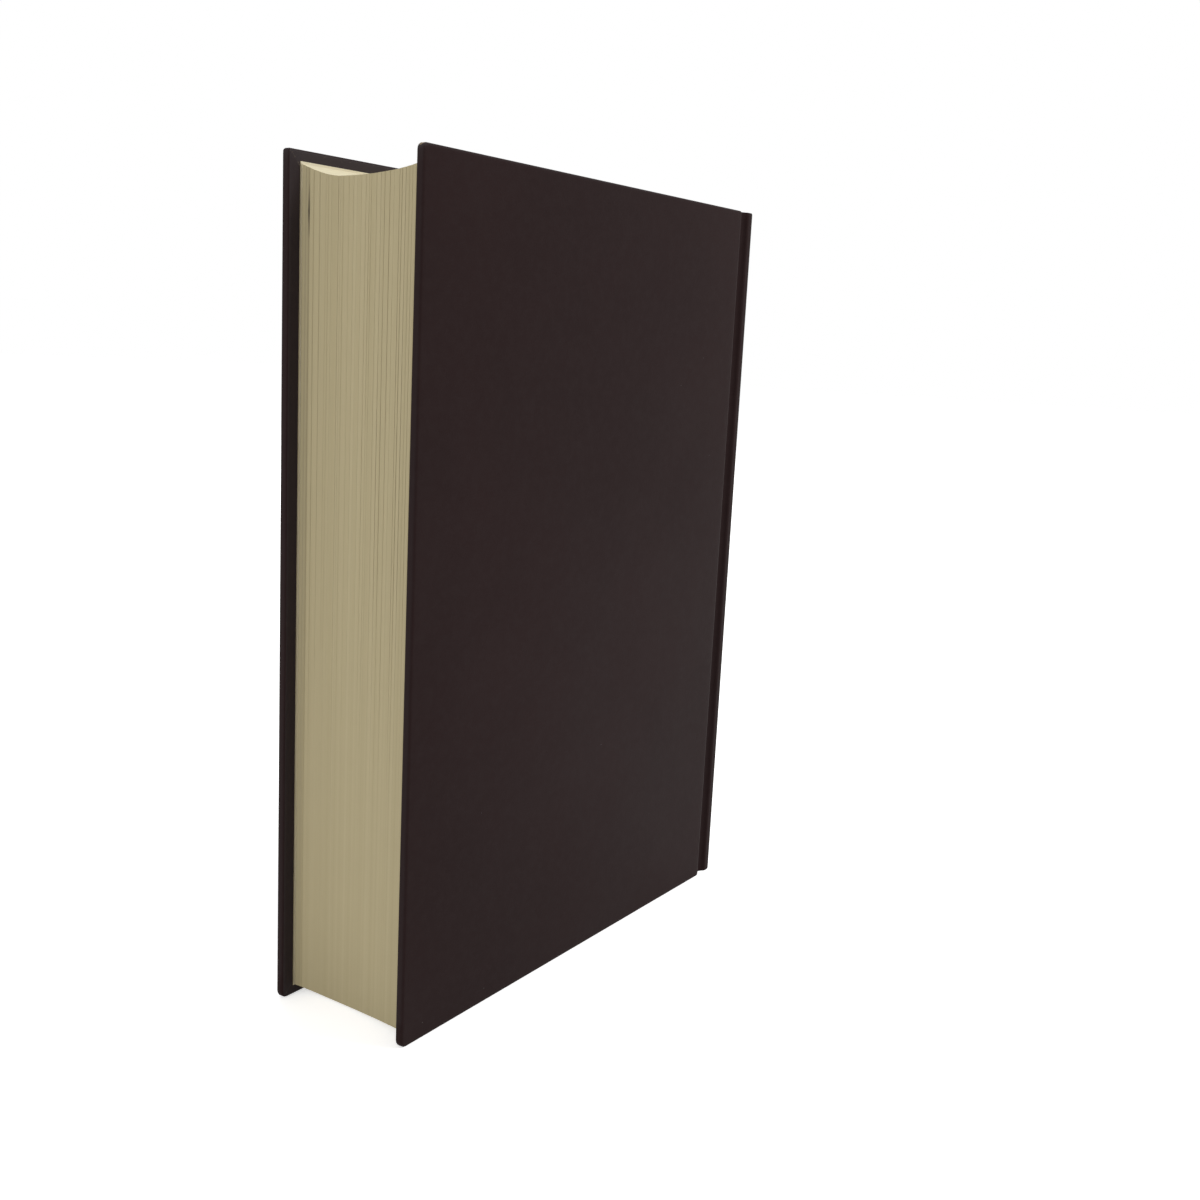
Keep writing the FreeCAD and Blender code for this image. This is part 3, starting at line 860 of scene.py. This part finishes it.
def cover_wear_and_sheen(places, side):
    """Scuffed edges, a rubbed mitre, one rubbed spot on the back cover's corner, and painted light on
    the turn-ins.
    """
    x, y, z = places.T
    from_fore = FORE_X - x
    from_head = HEIGHT - z
    from_end = np.minimum(z, from_head)
    edge = np.minimum(from_fore, from_end)
    on_edge = np.exp(-np.maximum(edge, 0) / (0.5 * MM)) * np.where(z < 6 * MM, 0.3, 1.0)
    corner = np.exp(-np.hypot(from_fore, from_head) / (2.0 * MM))
    mitre = np.exp(-((from_fore - from_end) / (0.22 * MM)) ** 2)
    inside = (OUTER_Y - np.abs(y)) > COVER - 0.1 * MM
    seam = mitre * inside * (edge < 5.5 * MM)
    from_spot = np.hypot(
        np.hypot(from_fore - RUBBED_SPOT[0], from_head - RUBBED_SPOT[1]),
        np.abs(y) - (OUTER_Y + INNER_Y) / 2)
    spot = (side > 0) * np.exp(-(from_spot / RUBBED_SPOT_SIZE) ** 2)
    # Painted light on the turn-in strips: a painted sheen on the head strip, and painted light that
    # lifts the shade on the fore and tail strips.
    painted_light_strip = inside * (edge < 6 * MM) * np.where(from_head < from_fore, 0.75, 0.5)
    return 0.28 * on_edge + 0.3 * corner + 0.8 * seam + 3.0 * spot + painted_light_strip


def build_cover_cloth(side, prefix):
    points = []
    rows = 0
    for inset, d in edge_section(COVER):
        ring = cover_ring(inset, HEAD_CORNER_ROUND[prefix])
        rows = len(ring)
        inner = d > COVER - 0.0001 * MM
        for x, z, distance, fore in ring:
            lift = mitre_raise(distance, inset) if inner and fore else 0.0
            points.append((x, side * (OUTER_Y - d - lift), z))
    count = len(points) // rows
    obj = object_from(prefix + "_covering", points, grid_faces(count, rows))
    weld(obj, (0, side, 0))
    thicken(obj, CLOTH * SHEET_SHARE)
    finish_mesh(obj, covering, wear=lambda places: cover_wear_and_sheen(places, side))
    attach(obj, prefix + "_cover")
    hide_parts(prefix + "_cloth")


def build_board(side, prefix):
    """Grey board inside a cover, its fore corners rounded like the covering's."""
    low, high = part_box(prefix + "_board")
    line = [(low.x, low.z)]
    for corner_round, upper in ((TAIL_CORNER_ROUND, False), (HEAD_CORNER_ROUND[prefix], True)):
        radius = corner_round - CLOTH
        centre_z = high.z - radius if upper else low.z + radius
        first_angle = 0 if upper else -90
        for angle in np.linspace(first_angle, first_angle + 90, CORNER_POINTS):
            turn = math.radians(angle)
            line.append((
                high.x - radius + radius * math.cos(turn), centre_z + radius * math.sin(turn)))
    line.append((low.x, high.z))
    size = len(line)
    points = [(x, y, z) for y in (low.y, high.y) for x, z in line]
    faces = [tuple(range(size)), tuple(reversed(range(size, 2 * size)))]
    faces += [(k, (k + 1) % size, size + (k + 1) % size, size + k) for k in range(size)]
    obj = object_from(prefix + "_grey_board", points, faces)
    weld(obj, (0, side, 0))
    finish_mesh(obj, board)
    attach(obj, prefix + "_cover")
    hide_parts(prefix + "_board")


# Endpapers: pastedown on the cover, flyleaf on the pages, and the fold between them in the joint

FOLD_X = HINGE_X - 0.8 * MM
PASTEDOWN_START_X = HINGE_X + 1.3 * MM
RIM_STATIONS_MM = (0.12, 0.3)
RIM_BROWNING_FORE = 0.08 * MM
RIM_BROWNING_END = 0.05 * MM
RIM_BROWNING_END_SHARE = 0.3

FLYLEAF_POINTS = 60
FLYLEAF_ROWS = 60
FLYLEAF_TURN = 0.11 * MM
FLYLEAF_LIFT = 0.02 * MM
FLYLEAF_WAVE = 0.06 * MM
FLYLEAF_WAVE_START_X = 40 * MM
FLYLEAF_WAVE_RUN = 45 * MM
FLYLEAF_PHASE = {"front": 1.7, "back": 0.0}

FOLD_POINTS = 18
FOLD_ROWS = 30

PASTEDOWN_DIP = 0.9
PASTEDOWN_DIP_RUN = 0.9 * MM
PASTEDOWN_BUBBLE = 0.03 * MM
STEP_STATIONS_MM = (-1.5, -0.6, -0.3, 0, 0.3, 0.6, 1.5)


def upright_sheet(name, line, rows, wave=None):
    """A sheet over a line in plan, from the tail to the head of the leaves."""
    points = []
    for x, y in line:
        for z in np.linspace(TAIL_Z, HEAD_Z, rows):
            points.append((x, y + (wave(x, z) if wave else 0.0), z))
    return object_from(name, points, grid_faces(len(line), rows))


def toned_rim(places, fore_end):
    """The paper's trimmed rims have browned, over a width that only a close look shows."""
    x, _, z = places.T
    from_fore = np.maximum(fore_end - x, 0)
    from_end = np.maximum(np.minimum(z - TAIL_Z, HEAD_Z - z), 0)
    return np.maximum(
        np.exp(-from_fore / RIM_BROWNING_FORE),
        RIM_BROWNING_END_SHARE * np.exp(-from_end / RIM_BROWNING_END))


def build_flyleaf(side, prefix):
    """The free half of an endpaper. Returns the place across the book where its fold starts."""
    centre_y = PAGE_Y + PAPER / 2
    slope = (SHOULDER_Y - PAGE_Y) / (FLARE_X - BACK_CORNER_X)
    fore_end = leaf_high.x
    line = [(x, centre_y) for x in [fore_end] + [fore_end - d * MM for d in RIM_STATIONS_MM]]
    line += [(x, centre_y) for x in np.linspace(fore_end, FLARE_X, FLYLEAF_POINTS)[1:]]
    line.append((FOLD_X, centre_y + slope * (FLARE_X - FOLD_X) + FLYLEAF_LIFT))
    turn_y = line[-1][1] + FLYLEAF_TURN
    for angle in (45, 90, 135, 180):
        turn = math.radians(angle)
        line.append((
            FOLD_X - FLYLEAF_TURN * math.sin(turn), turn_y - FLYLEAF_TURN * math.cos(turn)))
    phase = FLYLEAF_PHASE[prefix]

    def wave(x, z):
        """The sheet ripples faintly towards its fore edge."""
        toward_edge = smooth_step((x - FLYLEAF_WAVE_START_X) / FLYLEAF_WAVE_RUN)
        ripple = math.sin(z / HEIGHT * 9.0 + phase) + 0.5 * math.sin(z / HEIGHT * 23.0 + 2 * phase)
        return side * FLYLEAF_WAVE * float(toward_edge) * (1.2 + ripple)

    obj = upright_sheet(
        prefix + "_flyleaf_sheet", [(x, side * y) for x, y in line], FLYLEAF_ROWS, wave)
    weld(obj, (0, side, 0))
    thicken(obj, PAPER * SHEET_SHARE, 0.0)
    finish_mesh(obj, endpaper, wear=lambda places: toned_rim(places, fore_end))
    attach(obj, "text_block")
    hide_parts(prefix + "_flyleaf")
    return line[-1][1]


def build_fold(side, prefix, start_y):
    """The endpaper's fold in the joint, from where the flyleaf turns to the start of the pastedown."""
    end_y = INNER_Y - PAPER / 2
    line = []
    for share in np.linspace(0, 1, FOLD_POINTS):
        x = FOLD_X + (PASTEDOWN_START_X - FOLD_X) * share
        line.append((x, side * float(start_y + (end_y - start_y) * smooth_step(share))))
    obj = upright_sheet(prefix + "_endpaper_fold", line, FOLD_ROWS)
    weld(obj, (0, side, 0))
    thicken(obj, PAPER * SHEET_SHARE, 0.0)
    finish_mesh(obj, endpaper)
    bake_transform(obj)
    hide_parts(prefix + "_pastedown", prefix + "_flyleaf")


def stations_between(low, high, steps, coarse):
    """Evenly spaced places, with more of them at each step and at both rims."""
    near = [s + d * MM for s in steps for d in STEP_STATIONS_MM]
    rims = [low + d * MM for d in RIM_STATIONS_MM] + [high - d * MM for d in RIM_STATIONS_MM]
    spaced = list(np.linspace(low, high, coarse))
    return sorted({round(s, 6) for s in spaced + near + rims if low <= s <= high})


def build_pastedown(side, prefix):
    fore_x = paste_high.x
    window_low, window_high = TURN_IN, HEIGHT - TURN_IN
    window_x = FORE_X - TURN_IN

    def sink(x, z):
        """How far the sheet dips from the turn-ins onto the board between them."""
        inside = min(window_x - x, z - window_low, window_high - z, (x - BOARD_X) * 4)
        dip = smooth_step(0.5 + inside / PASTEDOWN_DIP_RUN) * CLOTH * PASTEDOWN_DIP
        bubble = PASTEDOWN_BUBBLE * math.sin(x / MM * 0.11) * math.sin(z / MM * 0.083)
        return float(dip) + (bubble if inside > 0 else 0.0)

    xs = stations_between(PASTEDOWN_START_X, fore_x, (window_x, BOARD_X), 60)
    zs = stations_between(paste_low.z, paste_high.z, (window_low, window_high), 80)
    points = [(x, side * (INNER_Y - PAPER / 2 + sink(x, z)), z) for x in xs for z in zs]
    obj = object_from(prefix + "_pastedown_sheet", points, grid_faces(len(xs), len(zs)))
    weld(obj, (0, side, 0))
    thicken(obj, PAPER * SHEET_SHARE, 0.0)
    finish_mesh(
        obj, endpaper, sharp_angle=60, wear=lambda places: toned_rim(places, fore_x))
    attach(obj, prefix + "_cover")
    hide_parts(prefix + "_pastedown")


# Head and tail bands: a bead wrapped with thread, on a tape glued over the back

THREAD_PITCH = 0.55 * MM
STEPS_PER_THREAD = 6
POINTS_ROUND_BEAD = 14
BEAD_TAPER_STEPS = 8
BEAD_TIP = 0.03
THREAD_SHARE = 0.1
THREAD_SLANT = 0.35
TAPE_STEPS = 48
TAPE_ROWS = 12
TAPE_MARGIN = 0.004
TAPE_RADIUS = BACK_RADIUS + MULL + TAPE
BAND_REACH = math.asin(band_high.y / TAPE_RADIUS)
BAND_DROP = band_high.z - band_low.z - 2 * BEAD + 0.1 * MM


def bead_mesh(edge_z, direction):
    bead_radius = TAPE_RADIUS - BEAD
    threads = int(2 * BAND_REACH * bead_radius / THREAD_PITCH)
    columns = threads * STEPS_PER_THREAD
    around = POINTS_ROUND_BEAD
    points = []
    for i in range(columns + 1):
        share = i / columns
        turn = -BAND_REACH + 2 * BAND_REACH * share
        end = min(share, 1 - share) * columns / BEAD_TAPER_STEPS
        tip = math.sqrt(max(0.0, 1 - (1 - end) ** 2)) * (1 - BEAD_TIP) + BEAD_TIP
        taper = 1.0 if end >= 1 else tip
        for j in range(around):
            roll = 2 * math.pi * j / around
            wrap = abs(math.sin(math.pi * (share * threads - THREAD_SLANT * j / around)))
            radius = BEAD * taper * (1 - THREAD_SHARE + THREAD_SHARE * wrap)
            out = bead_radius + radius * math.cos(roll)
            points.append((
                BACK_CENTRE_X - out * math.cos(turn), out * math.sin(turn),
                edge_z + direction * (BEAD + radius * math.sin(roll))))
    faces = ring_faces(list(range(around)), columns + 1)
    faces.append(tuple(range(around)))
    faces.append(tuple(reversed(range(columns * around, (columns + 1) * around))))
    return points, faces


def tape_mesh(edge_z, direction, first):
    """Points and faces of the tape. Its points are numbered from first."""
    near_z = edge_z + direction * BEAD
    far_z = edge_z - direction * BAND_DROP
    points = []
    for i in range(TAPE_STEPS + 1):
        turn = (-1 + 2 * i / TAPE_STEPS) * (BAND_REACH - TAPE_MARGIN)
        for radius in (TAPE_RADIUS, TAPE_RADIUS - TAPE):
            for j in range(TAPE_ROWS):
                z = near_z + (far_z - near_z) * j / (TAPE_ROWS - 1)
                points.append((
                    BACK_CENTRE_X - radius * math.cos(turn), radius * math.sin(turn), z))
    ring = list(range(TAPE_ROWS)) + [2 * TAPE_ROWS - 1 - j for j in range(TAPE_ROWS)]
    faces = ring_faces(ring, TAPE_STEPS + 1, first)
    for i in (0, TAPE_STEPS):
        faces.append(tuple(first + i * len(ring) + k for k in ring))
    return points, faces


def build_band(name, edge_z, direction):
    node = name + "_band"
    points, faces = bead_mesh(edge_z, direction)
    tape_points, tape_faces = tape_mesh(edge_z, direction, len(points))
    obj = object_from(node + "_bead", points + tape_points, faces + tape_faces)
    weld(obj, (0, 0, direction))
    finish_mesh(obj, band_thread, sharp_angle=50)
    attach(obj, "text_block")
    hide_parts(node)


build_text_block()
build_spine_cloth()
for side, prefix in ((-1, "front"), (1, "back")):
    build_joint_cloth(side, prefix)
    build_cover_cloth(side, prefix)
    build_board(side, prefix)
    fold_y = build_flyleaf(side, prefix)
    build_fold(side, prefix, fold_y)
    build_pastedown(side, prefix)
build_band("head", HEAD_Z, 1)
build_band("tail", TAIL_Z, -1)

for node, material in (("spine_inlay", board), ("spine_lining", kraft), ("mull", gauze)):
    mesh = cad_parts[node].data
    mesh.materials.clear()
    mesh.materials.append(material)


# Floor, light and camera

DOME_LEVEL = 0.52
FLOOR_GLOW = 0.56
FLOOR_COLOR = (0.86, 0.86, 0.86, 1)
FLOOR_RADIUS = 6.0
FLOOR_POINTS = 96
WHITE = (1, 1, 1, 1)
BOOK_MIDDLE = (0, 0, 0.12)

CAMERA_PLACE = (0.3553, 0.2564, 0.1954)
CAMERA_TURN = (79.216, -2.871, 123.732)
CAMERA_LENS = 41.415
CAMERA_SENSOR = 36.0


def white_background():
    """The world lights at the dome's level, and shows white to the camera and in reflections."""
    world = bpy.data.worlds.new("studio")
    bpy.context.scene.world = world
    world.use_nodes = True
    tree = world.node_tree
    tree.nodes.clear()
    rays = tree.nodes.new("ShaderNodeLightPath")
    seen = tree.nodes.new("ShaderNodeMath")
    seen.operation = "MAXIMUM"
    seen_all = tree.nodes.new("ShaderNodeMath")
    seen_all.operation = "MAXIMUM"
    tree.links.new(rays.outputs["Is Camera Ray"], seen.inputs[0])
    tree.links.new(rays.outputs["Is Glossy Ray"], seen.inputs[1])
    tree.links.new(seen.outputs[0], seen_all.inputs[0])
    tree.links.new(rays.outputs["Is Transmission Ray"], seen_all.inputs[1])
    dome = tree.nodes.new("ShaderNodeBackground")
    dome.inputs["Color"].default_value = WHITE
    dome.inputs["Strength"].default_value = DOME_LEVEL
    white = tree.nodes.new("ShaderNodeBackground")
    white.inputs["Color"].default_value = WHITE
    mix = tree.nodes.new("ShaderNodeMixShader")
    output = tree.nodes.new("ShaderNodeOutputWorld")
    tree.links.new(seen_all.outputs[0], mix.inputs[0])
    tree.links.new(dome.outputs[0], mix.inputs[1])
    tree.links.new(white.outputs[0], mix.inputs[2])
    tree.links.new(mix.outputs[0], output.inputs["Surface"])


def pale_floor():
    """A wide white floor that keeps the book's shadow and otherwise meets the background."""
    points = [(0, 0, 0)]
    for k in range(FLOOR_POINTS):
        turn = 2 * math.pi * k / FLOOR_POINTS
        points.append((FLOOR_RADIUS * math.cos(turn), FLOOR_RADIUS * math.sin(turn), 0))
    faces = [(0, 1 + k, 1 + (k + 1) % FLOOR_POINTS) for k in range(FLOOR_POINTS)]
    floor = object_from("floor", points, faces)
    n = Nodes("floor")
    rays = n.add("ShaderNodeLightPath")
    seen = n.math("MAXIMUM", rays.outputs["Is Camera Ray"], rays.outputs["Is Glossy Ray"])
    n.shader.inputs["Base Color"].default_value = FLOOR_COLOR
    n.shader.inputs["Roughness"].default_value = 0.9
    n.shader.inputs["Specular IOR Level"].default_value = 0.0
    n.shader.inputs["Emission Color"].default_value = WHITE
    n.link(n.math("MULTIPLY", seen, FLOOR_GLOW), n.shader.inputs["Emission Strength"])
    floor.data.materials.append(n.material)


def soft_box(name, place, size, power):
    """A round soft lamp that points at the middle of the book."""
    lamp = bpy.data.lights.new(name, "AREA")
    lamp.shape = "DISK"
    lamp.size = size
    lamp.energy = power
    obj = bpy.data.objects.new(name, lamp)
    obj.location = place
    aim = Vector(BOOK_MIDDLE) - Vector(place)
    obj.rotation_euler = aim.to_track_quat("-Z", "Y").to_euler()
    bpy.context.scene.collection.objects.link(obj)


white_background()
pale_floor()
soft_box("key", (-0.8, 1.2, 1.3), 1.0, 20.0)
soft_box("fore_fill", (1.7, 0.0, 0.8), 1.2, 9.5)
soft_box("front_fill", (-1.1, -1.5, 0.9), 1.2, 12.0)

camera = bpy.data.cameras.new("camera")
camera.sensor_width = CAMERA_SENSOR
camera.lens = CAMERA_LENS
camera_object = bpy.data.objects.new("camera", camera)
camera_object.location = CAMERA_PLACE
camera_object.rotation_euler = [math.radians(a) for a in CAMERA_TURN]
bpy.context.scene.collection.objects.link(camera_object)
bpy.context.scene.camera = camera_object
bpy.context.scene.view_settings.view_transform = "Standard"
